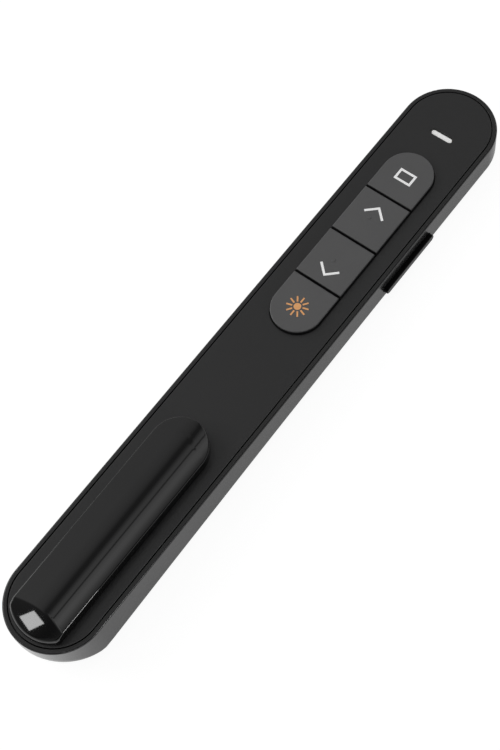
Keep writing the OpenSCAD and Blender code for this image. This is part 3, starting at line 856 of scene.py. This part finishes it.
@dataclass
class Hump:
    """Battery hump: a long bar with a crowned top, a round front and a domed facet at its tail.

    Attributes:
        ridge: height of its middle line.
        edge_h: height of its long edges.
        front: place of the centre of its round front.
        facet_y: place where the facet meets the ridge.
        facet_mid: from there to the facet's middle.
        facet_a: slope of the facet's middle.
        facet_r: radius of its dome.
        tail_r: radius of the tail's outline.
        corner: how far that outline blends into the sides.
        fillet: size of the rounded upper edge.
        tail_fillet: its size round the tail.
        fillet_y: where it begins to grow.
        fillet_run: over which length it grows.
        crease: how far ridge and facet blend.
        foot: height of the lower end, inside the plate.
        inner: size of the hollow's rounded edge.
    """

    body: BodyForm
    half_w: float = 6.1
    ridge: float = 3.35
    edge_h: float = 2.65
    front: float = -26.85
    facet_y: float = -67.2
    facet_mid: float = 2.6
    facet_a: float = math.radians(24.5)
    facet_r: float = 80.0
    tail_r: float = 8.6
    corner: float = 0.5
    fillet: float = 0.25
    tail_fillet: float = 0.7
    fillet_y: float = -68.2
    fillet_run: float = 2
    crease: float = 0.08
    foot: float = -0.5
    wall: float = 0.95
    inner: float = 0.05

    @property
    def dome(self) -> tuple[float, float]:
        """Place along the deck and height of the centre of the facet's dome."""
        y = self.facet_y - self.facet_mid + self.facet_r * math.sin(self.facet_a)
        return y, self.ridge - math.sqrt(self.facet_r ** 2 - (self.facet_y - y) ** 2)

    def _top(self, x: float, y: float) -> float:
        """Returns the height of the top without its rounded edges."""
        rise = self.ridge - self.edge_h
        crown_r = (self.half_w ** 2 + rise ** 2) / (2 * rise)
        crown = self.ridge - crown_r + math.sqrt(crown_r ** 2 - x * x)
        if y > self.facet_y + self.crease * 10:
            return crown
        mid_y, mid_z = self.dome
        facet = mid_z + math.sqrt(self.facet_r ** 2 - x * x - (y - mid_y) ** 2)
        return soft_min(crown, facet, self.crease)

    def _inset(self, x: float, y: float, d: float) -> float:
        """Returns how far a point lies inside the outline that is moved in by d."""
        inset = self.half_w - d - abs(x)
        if y > self.front:
            inset = min(inset, self.half_w - d - math.hypot(x, y - self.front))
        if y < -self.body.half:
            tail = self.tail_r - d - math.hypot(x, y + self.body.half)
            inset = soft_min(inset, tail, self.corner)
        return max(inset, 0.0)

    def _rows(self, d: float) -> list[Pair]:
        """Returns (y, half width) pairs from the front's tip to the tail's."""
        w = self.half_w - d
        rows = [(self.front + w * math.cos(a), w * math.sin(a))
                for a in (math.pi / 2 * k / 40 for k in range(40))]
        rows += [(y, w) for y in (self.front - k * 4 for k in range(10))]
        r = self.tail_r - d
        start = math.acos((self.body.half + self.facet_y + 0.3) / -r)
        rows += [(-self.body.half - r * math.cos(a), soft_min(w, r * math.sin(a), self.corner))
                 for a in (start * (1 - k / 112) for k in range(113))]
        return rows

    def _edge(self, y: float) -> float:
        """Returns the size of the rounded upper edge, which grows round the tail."""
        share = min(max((self.fillet_y - y) / self.fillet_run, 0), 1)
        return self.fillet + (self.tail_fillet - self.fillet) * share

    def solid(self, name: str, d: float, foot: float) -> Object:
        """Returns the closed bar moved in by d on every side, down to foot."""
        shares = [0, .003, .008, .015, .023, .032, .042, .053, .066, .085, .12, .2, .3, .42, .56, .7, .85]
        cols = [-1 + s for s in shares] + [0] + [1 - s for s in reversed(shares)]
        n = len(cols)
        verts, faces = [], []
        rows = self._rows(d)
        for y, w in rows:
            fillet = self._edge(y) if d == 0 else self.inner
            for c in cols:
                x = c * w
                inside = min(self._inset(x, y, d) / fillet, 1.0)
                drop = fillet * (1 - math.sqrt(1 - (1 - inside) ** 2))
                verts.append(Vector((x, y, self._top(x, y) - d - drop)))
        top = len(verts)
        for y, w in rows:
            verts += [Vector((-w, y, foot)), Vector((w, y, foot))]
        for j in range(len(rows) - 1):
            a, b = j * n, (j + 1) * n
            p, q = top + 2 * j, top + 2 * (j + 1)
            faces += [[a + i, a + i + 1, b + i + 1, b + i] for i in range(n - 1)]
            faces += [[a, b, q, p], [a + n - 1, b + n - 1, q + 1, p + 1], [p, q, q + 1, p + 1]]
        return self._closed(name, verts, faces)

    def hollow(self) -> Object:
        """Returns the hump as a shell that is open below."""
        shell = self.solid("battery_hump", 0, self.foot)
        Shop.boolean(shell, self.solid("hollow", self.wall, self.foot - 1), Bool.CUT)
        return shell

    def _closed(self, name: str, verts: list[Vector], faces: list[list[int]]) -> Object:
        """Makes the mesh on the deck, with its two ends closed."""
        made = Shop.mesh(name, [self.body.deck @ v for v in verts], faces)
        shape = bmesh.new()
        shape.from_mesh(made.data)
        bmesh.ops.dissolve_degenerate(shape, edges=shape.edges, dist=1e-7)
        bmesh.ops.holes_fill(shape, edges=[e for e in shape.edges if e.is_boundary], sides=0)
        bmesh.ops.recalc_face_normals(shape, faces=shape.faces)
        shape.to_mesh(made.data)
        shape.free()
        return made


@dataclass
class Cover:
    """Top cover: the deck's plate, the battery hump on it and the light guide in it.

    Attributes:
        fillet: radius of the plate's upper edge.
        bevel_w: width of the slope inside that edge.
        key_r: radius of the key opening's ends.
        keys_half: from its middle to the centre of each end.
        keys_y: place of its middle.
        light_r: half width of the light slot.
        guide_r: half width of the light guide in it.
        light_half: from their middle to the centre of each end.
        light_y: place of their middle.
        sink: depth of the guide's top.
        flare: radius of the key opening's upper edge.
        slack: how far the plate lies inside the CAD plate, under its top.
        plate_z: height of the slot cutter's lower end, under the plate.
    """

    body: BodyForm
    hump: Hump
    fillet: float = 0.04
    bevel_w: float = 0.32
    bevel_h: float = 0.04
    key_r: float = 5.75
    keys_half: float = 18.94
    keys_y: float = 30.1
    light_r: float = 0.78
    guide_r: float = 0.5
    light_half: float = 1.95
    light_y: float = 61.6
    sink: float = 0.35
    flare: float = 0.05
    slack: float = 0.005
    plate_z: float = -1.45

    def _flare(self, name: str, outline: BarOutline, r: float, to: Matrix) -> Object:
        """Returns a cutter that rounds the upper edge of an opening."""
        profile = [(r - 0.3, -1.0), (r - 0.3, -0.5)] + rounded(r + 0.01, 0.0, -self.flare)
        profile.append((r + 0.01 + self.flare, 0.5))
        return outline.solid(name, profile, to)

    def build(self) -> None:
        """Builds the plate with its openings, and the hollow hump."""
        b = self.body
        r = b.radius - b.rim_w - b.groove_w - 0.002
        profile = [(r, -6.0), (r, -1.0)]
        profile += [(x, z - self.slack) for x, z in rounded(r, -self.bevel_h, self.fillet)]
        profile.append((r - self.bevel_w, -self.slack))
        plate = Shop.merged("top_cover", "cover_plate")
        Shop.boolean(plate, BarOutline(b.half, arc=96).solid("plate", profile, b.deck), Bool.KEEP)
        keys = BarOutline(self.keys_half, middle=self.keys_y)
        Shop.boolean(plate, self._flare("key_edge", keys, self.key_r, b.deck), Bool.CUT)
        across = b.deck @ Matrix.Translation((0, self.light_y, 0)) @ Matrix.Rotation(math.pi / 2, 4, "Z")
        light = BarOutline(self.light_half, arc=24)
        profile = [(self.light_r, self.plate_z), (self.light_r, 0.5)]
        Shop.boolean(plate, light.solid("light_edge", profile, across), Bool.CUT)
        Shop.fit(plate, "housing", "cover", Finishes.COVER, ["top_cover"])
        Shop.fit(self.hump.hollow(), "housing", "cover", Finishes.HUMP, ["top_cover"], 50)
        guide = Shop.merged("light_pipe", "light_guide")
        profile = [(3, DEEP), (3, self.plate_z - 0.05), (self.guide_r, self.plate_z),
                   (self.guide_r, -self.sink)]
        Shop.boolean(guide, light.solid("under", profile, across), Bool.KEEP)
        Shop.fit(guide, "housing", "cover", Finishes.GUIDE, ["light_pipe"])


# ---------- keys ----------


class Mark(Enum):
    """Printed sign on a key."""

    SUN = "sun"
    DOWN = "down"
    UP = "up"
    FRAME = "frame"


@dataclass
class Key:
    """One thumb key.

    Attributes:
        name: the CAD body and node of the key.
        index: its place in the block, from the tail.
        mark: the sign printed on it.
        keys_y: place of the block's middle.
        pitch: from one key's middle to the next one's.
        gap: width of the gap between two keys.
        radius: half width of the block, and radius of its ends.
        rise: height of the caps over the deck.
        edge: radius of their upper edges.
        skin: how far a cap's sides lie inside that outline.
        ink: thickness of the print.
        stroke: width of its lines.
        dot_r: radius of the bump that the thumb finds.
        dot_x: its place across the key.
        dot_h: its height on the cap.
    """

    body: BodyForm
    name: str
    index: int
    mark: Mark
    keys_y: float = 30.1
    pitch: float = 12.27
    gap: float = 0.55
    radius: float = 5.56
    rise: float = 0.9
    edge: float = 0.2
    skin: float = 0.01
    ink: float = 0.02
    stroke: float = 0.5
    dot_r: float = 0.4
    dot_x: float = -0.45
    dot_h: float = 0.08

    @property
    def middle(self) -> float:
        """Place of the key's middle along the deck."""
        return self.keys_y + (self.index - 1.5) * self.pitch

    def outline(self) -> list[Pair]:
        """Returns the cap's outline: a square, with one round end on the block's end keys."""
        r = self.radius - self.skin
        low = self.middle - self.pitch / 2 + self.gap / 2 + self.skin
        high = self.middle + self.pitch / 2 - self.gap / 2 - self.skin
        if self.index in (1, 2):
            return [(r, low), (r, high), (-r, high), (-r, low)]
        end = self.keys_y + (2 * self.pitch - self.radius) * (1 if self.index == 3 else -1)
        arc = [(r * math.cos(a), end + math.copysign(r, end - self.keys_y) * math.sin(a))
               for a in (math.pi * k / 64 for k in range(65))]
        flat = low if self.index == 3 else high
        points = arc + [(-r, flat), (r, flat)]
        return points if self.index == 3 else points[::-1]

    def _dot(self) -> Object:
        """Returns the low bump that the thumb finds."""
        outline = [(self.dot_r * math.cos(a) + self.dot_x, self.middle + self.dot_r * math.sin(a))
                   for a in (math.tau * k / 24 for k in range(24))]
        return Shop.prism("bump", outline, self.rise - 0.1, self.rise + self.dot_h, self.body.deck, 0.075)

    def cap(self) -> None:
        """Builds the cap: a smooth top joined to the CAD node's skirt and lips."""
        deck = self.body.deck
        piece = Shop.merged(self.name, self.name + "_cap")
        wide = self.body.radius
        below = [(-wide, 0), (wide, 0), (wide, FAR), (-wide, FAR)]
        Shop.boolean(piece, Shop.prism("below", below, DEEP, -0.3, deck), Bool.KEEP)
        top = Shop.prism("top", self.outline(), -0.8, self.rise - 0.005, deck, self.edge, 5)
        Shop.boolean(piece, top, Bool.JOIN)
        if self.index in (1, 2):
            Shop.boolean(piece, self._dot(), Bool.JOIN)
        Shop.fit(piece, self.name, "key", Finishes.KEY, [self.name], 40)

    def _stroke(self, points: Pairs, closed: bool) -> Object:
        """Returns a printed line of even width with mitred corners."""
        count = len(points)
        left, right = [], []
        for i, p in enumerate(points):
            here = Vector(p)
            ahead = Vector(points[(i + 1) % count]) - here if closed or i < count - 1 else None
            behind = here - Vector(points[i - 1]) if closed or i > 0 else None
            ways = [w.normalized() for w in (behind, ahead) if w is not None]
            sides = [Vector((-w.y, w.x)) for w in ways]
            mitre = sum(sides, Vector((0, 0))).normalized()
            reach = self.stroke / 2 / max(mitre.dot(sides[0]), 0.3)
            left.append(here + mitre * reach)
            right.append(here - mitre * reach)
        low, high = self.rise - 0.03, self.rise + self.ink
        verts = [Vector((p.x, p.y, z)) for z in (low, high) for p in left + right]
        faces = []
        last = count if closed else count - 1
        for i in range(last):
            j = (i + 1) % count
            quad = [i, j, count + j, count + i]
            faces += [quad[::-1], [2 * count + k for k in quad]]
            faces += [[i, j, 2 * count + j, 2 * count + i]]
            faces += [[count + i, count + j, 3 * count + j, 3 * count + i]]
        if not closed:
            for i in (0, count - 1):
                faces.append([i, count + i, 3 * count + i, 2 * count + i])
        return Shop.mesh("stroke", [self.body.deck @ v for v in verts], faces)

    def print_mark(self) -> None:
        """Prints the key's sign."""
        lines = {Mark.FRAME: [(-1.76, 47.2), (1.76, 47.2), (1.76, 49.55), (-1.76, 49.55)],
                 Mark.UP: [(-2.3, 37.1), (-0.03, 39.15), (2.2, 37.1)],
                 Mark.DOWN: [(-2.3, 22.3), (-0.03, 20.25), (2.2, 22.3)]}
        if self.mark is Mark.SUN:
            piece, ink = Sun(self.body, self.rise).build(), Finishes.ORANGE_INK
        else:
            piece, ink = self._stroke(lines[self.mark], self.mark is Mark.FRAME), Finishes.WHITE_INK
        piece.name = self.name + "_print"
        Shop.fit(piece, self.name, "key", ink, crease=None)


@dataclass
class Sun:
    """Laser sign: a disc with rays, made by a tree of nodes."""

    body: BodyForm
    rise: float
    x: float = -0.1
    y: float = 11.3
    disc_r: float = 0.78
    rays: int = 10
    ray_in: float = 1.1
    ray_out: float = 2.35
    ray_w: float = 0.34
    ink: float = 0.02

    def _tree(self) -> bpy.types.GeometryNodeTree:
        """Builds the tree: bars on a circle round a disc."""
        tree = bpy.data.node_groups.new("sun_rays", "GeometryNodeTree")
        side = tree.interface
        side.new_socket("Geometry", in_out="OUTPUT", socket_type="NodeSocketGeometry")
        for name, kind in (("Rays", "NodeSocketInt"), ("Disc Radius", "NodeSocketFloat"),
                           ("Ray Middle", "NodeSocketFloat"), ("Ray Size", "NodeSocketVector"),
                           ("Ink", "NodeSocketMaterial")):
            side.new_socket(name, in_out="INPUT", socket_type=kind)

        def add(kind: str, inputs: dict[int | str, object],
                out: int | str = 0) -> bpy.types.NodeSocket | None:
            """Adds a node with its inputs linked, and returns one of its outputs."""
            made = tree.nodes.new(kind)
            for key, sources in inputs.items():
                for source in sources if isinstance(sources, list) else [sources]:
                    tree.links.new(source, made.inputs[key])
            return made.outputs[out] if made.outputs else None

        given = tree.nodes.new("NodeGroupInput").outputs
        ring = add("GeometryNodeMeshCircle", {"Vertices": given["Rays"], "Radius": given["Ray Middle"]})
        bar = add("GeometryNodeMeshCube", {"Size": given["Ray Size"]}, "Mesh")
        turn = add("FunctionNodeAlignRotationToVector", {"Vector": add("GeometryNodeInputPosition", {})})
        turn.node.axis = "X"
        spread = add("GeometryNodeInstanceOnPoints", {"Points": ring, "Instance": bar, "Rotation": turn})
        thick = add("ShaderNodeSeparateXYZ", {0: given["Ray Size"]}, "Z")
        disc = add("GeometryNodeMeshCylinder", {"Radius": given["Disc Radius"], "Depth": thick}, "Mesh")
        disc.node.inputs["Vertices"].default_value = 40
        both = add("GeometryNodeJoinGeometry", {0: [spread, disc]})
        real = add("GeometryNodeRealizeInstances", {0: both})
        ink = add("GeometryNodeSetMaterial", {"Geometry": real, "Material": given["Ink"]})
        add("NodeGroupOutput", {0: ink})
        return tree

    def build(self) -> Object:
        """Returns the printed sun on the deck."""
        thick = self.ink + 0.03
        values = {"Rays": self.rays, "Disc Radius": self.disc_r,
                  "Ray Middle": (self.ray_in + self.ray_out) / 2,
                  "Ray Size": (self.ray_out - self.ray_in, self.ray_w, thick),
                  "Ink": Finishes.ORANGE_INK.material()}
        piece = grow("sun", self._tree(), values)
        middle = (self.x, self.y, self.rise + self.ink - thick / 2)
        turn = Matrix.Rotation(math.pi / self.rays, 4, "Z")
        piece.data.transform(self.body.deck @ Matrix.Translation(middle) @ turn)
        return piece


def grow(name: str, tree: bpy.types.GeometryNodeTree, values: dict[str, object]) -> Object:
    """Runs a geometry tree and returns its result as a plain mesh.

    Args:
        name: name of the new object.
        tree: the tree.
        values: the tree's inputs by name.
    """
    piece = Shop.mesh(name, [], [])
    step = piece.modifiers.new("grow", "NODES")
    step.node_group = tree
    for item in tree.interface.items_tree:
        if item.in_out == "INPUT" and item.name in values:
            step[item.identifier] = values[item.name]
    Shop.bake(piece)
    return piece


@dataclass
class KeyBlock:
    """The four thumb keys with their signs and plungers."""

    body: BodyForm

    def build(self) -> None:
        """Builds every key from the tail to the nose."""
        signs = (("laser_key", Mark.SUN), ("down_key", Mark.DOWN), ("up_key", Mark.UP),
                 ("black_screen_key", Mark.FRAME))
        for index, (name, mark) in enumerate(signs):
            key = Key(self.body, name, index, mark)
            key.cap()
            key.print_mark()
            Shop.dress(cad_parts[name.replace("_key", "_plunger")], Finishes.PLUNGER)


# ---------- side rocker ----------


@dataclass
class Rocker:
    """Rocker in the right wall.

    Attributes:
        y: place of its middle along the deck.
        z: its height under the deck.
        face: distance of its face from the body's middle line.
        edge: radius of the face's edge.
        inner: distance within which the CAD node's own shape is kept.
        root: distance at which the bar begins, inside that.
    """

    body: BodyForm
    y: float = 34.4
    z: float = -4.05
    length: float = 16.4
    height: float = 1.65
    face: float = 11.3
    edge: float = 0.15
    inner: float = 8.9
    root: float = 8.6

    def build(self) -> None:
        """Builds the bar with its rounded face."""
        deck = self.body.deck
        side = Matrix(((0, 0, 1, 0), (0, 1, 0, self.y), (1, 0, 0, self.z), (0, 0, 0, 1)))
        r = self.height / 2 - 0.005
        profile = [(r, self.root)] + rounded(r, self.face, self.edge)
        piece = Shop.merged("side_rocker", "side_rocker_bar")
        inner = [(0, 0), (self.inner, 0), (self.inner, FAR), (0, FAR)]
        Shop.boolean(piece, Shop.prism("inner", inner, DEEP, 0, deck), Bool.KEEP)
        bar = BarOutline((self.length - self.height) / 2, arc=32).solid("bar", profile, deck @ side)
        Shop.boolean(piece, bar, Bool.JOIN)
        Shop.fit(piece, "side_rocker", "rocker", Finishes.ROCKER, ["side_rocker"], 40)
        Shop.dress(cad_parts["rocker_pin"], Finishes.STEEL)


# ---------- what the CAD nodes wear ----------


@dataclass
class Inside:
    """Electronics, laser, battery and receiver: CAD nodes with their finishes."""

    worn: tuple[tuple[Finish, str], ...] = (
        (Finishes.BOARD, "main_board"), (Finishes.CAN, "crystal_can"),
        (Finishes.CHIP, "key_switches side_switches controller_chip radio_chip"),
        (Finishes.STEEL, "switch_plates"), (Finishes.CERAMIC, "chip_antenna"),
        (Finishes.CAPACITOR, "chip_capacitors"), (Finishes.EPOXY, "status_led"),
        (Finishes.BRASS, "laser_barrel"), (Finishes.GOLD, "laser_diode receiver_contacts"),
        (Finishes.LENS, "laser_lens"), (Finishes.FILTER, "laser_window"), (Finishes.CELL, "aaa_cell"),
        (Finishes.NICKEL, "cell_cap negative_plate battery_spring positive_plate"),
        (Finishes.NICKEL, "receiver_plug receiver_magnet"),
        (Finishes.RED_WIRE, "positive_lead"), (Finishes.BLACK_WIRE, "negative_lead"),
        (Finishes.RECEIVER, "receiver_case"), (Finishes.INSULATOR, "receiver_tongue"))

    def build(self) -> None:
        """Dresses every node."""
        for finish, names in self.worn:
            for name in names.split():
                Shop.dress(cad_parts[name], finish)
                LOG.info("%s wears %s", name, finish.name)


# ---------- studio ----------


@dataclass
class Studio:
    """Camera, lamps, world and floor.

    Attributes:
        eye: the camera's place, on the deck, in millimetres.
        view: its direction.
        up: its upward direction.
        lens: focal length in millimetres.
        level: strength of the room's light.
        across: (place, grey) of the room's strips from left to right, from -1 to 1.
        along: the same from tail to nose.
        sweep: the same upwards, for the white sweep that glossy rays see.
        sweep_glow: strength of that sweep.
        floor_half: half width of the floor in metres.
        floor_glow: strength of the floor as the camera sees it.
        sheen: (place, grey) of the floor in glossy rays, over 0.5 + 4 y, y in metres: painted light, bright
            past the tail and dim beside the body.
    """

    body: BodyForm
    eye: Point = (99.7, -96.2, 275.8)
    view: Point = (-0.32170, 0.29447, -0.89989)
    up: Point = (-0.52412, 0.73613, 0.42826)
    lens: float = 74.65
    sensor: float = 36
    level: float = 1.75
    across: tuple[Pair, ...] = (
        (-1, 0.25), (-0.72, 0.5), (-0.48, 0.52), (-0.37, 0.44), (-0.32, 0.34), (-0.27, 0.11),
        (-0.23, 0.11), (-0.17, 0.58), (-0.13, 0.62), (-0.125, 0.2), (-0.112, 0.2), (-0.107, 0.72),
        (-0.04, 1.0), (0.0, 0.94), (0.07, 0.45), (0.2, 0.16), (0.3, 0.06), (1, 0.06))
    along: tuple[Pair, ...] = ((-0.6, 0.2), (-0.2, 0.9), (0.08, 1.0), (0.22, 0.85),
                                              (0.6, 0.8), (1, 0.5))
    sweep: tuple[Pair, ...] = ((0.12, 1.0), (0.35, 0.0))
    sweep_glow: float = 0.75
    floor_half: float = 6.0
    floor_glow: float = 0.93
    sheen: tuple[Pair, ...] = ((0.19, 1.0), (0.25, 0.42))

    def camera(self) -> None:
        """Sets the camera at the viewing angle."""
        turn = Matrix.Rotation(-self.body.tilt, 3, "X")
        back = -(turn @ Vector(self.view)).normalized()
        right = (turn @ Vector(self.up)).cross(back).normalized()
        up = back.cross(right)
        data = bpy.data.cameras.new("camera")
        data.lens = self.lens
        data.sensor_width = self.sensor
        data.clip_start = 0.01
        camera = Shop.link("camera", data)
        axes = Matrix((right, up, back)).transposed().to_4x4()
        camera.matrix_world = Matrix.Translation(self.body.place(*self.eye)) @ axes
        bpy.context.scene.camera = camera

    def lamp(self, name: str, toward: Point, away: float, size: tuple[float, float], power: float,
             turn: Point = (0, 0, 0)) -> None:
        """Hangs a soft box.

        Args:
            name: name of the lamp.
            toward: direction from the object to the lamp, on the deck.
            away: distance in metres.
            size: width and height in metres.
            power: radiance of its face, where 1 is white.
            turn: turns about its own axes away from facing the object, in degrees.
        """
        data = bpy.data.lights.new(name, "AREA")
        data.shape = "RECTANGLE"
        data.size, data.size_y = size
        data.energy = power * math.pi * size[0] * size[1]
        lamp = Shop.link(name, data)
        way = (Matrix.Rotation(-self.body.tilt, 3, "X") @ Vector(toward)).normalized()
        lamp.location = way * away
        aside = Euler([math.radians(a) for a in turn]).to_quaternion()
        lamp.rotation_euler = (way.to_track_quat("Z", "Y") @ aside).to_euler()

    def world(self) -> None:
        """Sets a room of soft strips overhead, over a white sweep that the camera sees all round."""
        g = Graph(bpy.data.worlds.new("room"))
        bpy.context.scene.world = g.owner

        def part(axis: str, stops: Pairs) -> Sock:
            """Returns a ramp over one part of the direction, from -1 to 1."""
            place = g.axis(axis, g.node("ShaderNodeTexCoord", out="Generated"))
            return g.ramp(0.5 + 0.5 * place, [(0.5 + 0.5 * stop, grey) for stop, grey in stops])

        across, along, sweep = part("X", self.across), part("Y", self.along), part("Z", self.sweep)
        seen = g.ray("Camera") + self.sweep_glow * (g.ray("Glossy") + g.ray("Transmission")) * sweep
        room = g.node("ShaderNodeBackground", {}, {"Strength": self.level * across * along})
        white = g.node("ShaderNodeBackground", {}, {"Color": (1, 1, 1, 1)})
        pick = g.node("ShaderNodeMixShader", {}, {0: seen, 1: room, 2: white})
        g.node("ShaderNodeOutputWorld", {}, {"Surface": pick})

    def floor(self) -> None:
        """Lays a white floor that keeps a faint shadow, and that glossy rays see painted bright past the tail
        and dim beside the body.
        """
        half = self.floor_half
        corners = [Vector((x, y, 0)) for x, y in ((-half, -half), (half, -half), (half, half), (-half, half))]
        floor = Shop.mesh("floor", corners, [[0, 1, 2, 3]])
        g = Graph(bpy.data.materials.new("floor_paper"))
        seen = g.ray("Camera")
        # Painted light and shade in reflections: the floor is brighter past the tail than beside the body.
        painted_floor_light = g.ramp(0.5 + 4 * g.axis("Y"), self.sheen) * (g.ray("Glossy") + g.ray("Transmission"))
        glow = g.node("ShaderNodeEmission", {}, {
            "Color": (1, 1, 1, 1), "Strength": self.floor_glow * seen + painted_floor_light})
        tone = g.mix(seen, (0.8, 0.8, 0.8), (0.2, 0.2, 0.2))
        paper = g.node("ShaderNodeBsdfDiffuse", {}, {"Color": tone})
        both = g.node("ShaderNodeAddShader", {}, {0: glow, 1: paper})
        g.node("ShaderNodeOutputMaterial", {}, {"Surface": both})
        floor.data.materials.append(g.owner)

    def build(self) -> None:
        """Sets the whole studio."""
        self.camera()
        self.world()
        self.floor()
        self.lamp("key_box", (-0.3333, -0.6753, 0.6579), 1.0476, (0.1015, 0.108), 10.0, (35, 30, 8.8))
        self.lamp("left_box", (-0.82, -0.30, 0.48), 1.0, (0.8, 0.5), 3.0)
        self.lamp("side_box", (0.935, -0.0385, 0.353), 0.493, (0.05, 0.12), 18.0)
        bpy.context.scene.view_settings.view_transform = "Standard"


def main() -> None:
    """Builds the clicker round its frame."""
    logging.basicConfig(level=logging.INFO, format="%(name)s: %(message)s")
    body = BodyForm()
    for assembly in (Housing(body), Cover(body, Hump(body)), KeyBlock(body), Rocker(body), Inside(),
                     Studio(body)):
        LOG.info("building %s", type(assembly).__name__)
        assembly.build()


if __name__ == "__main__":
    main()
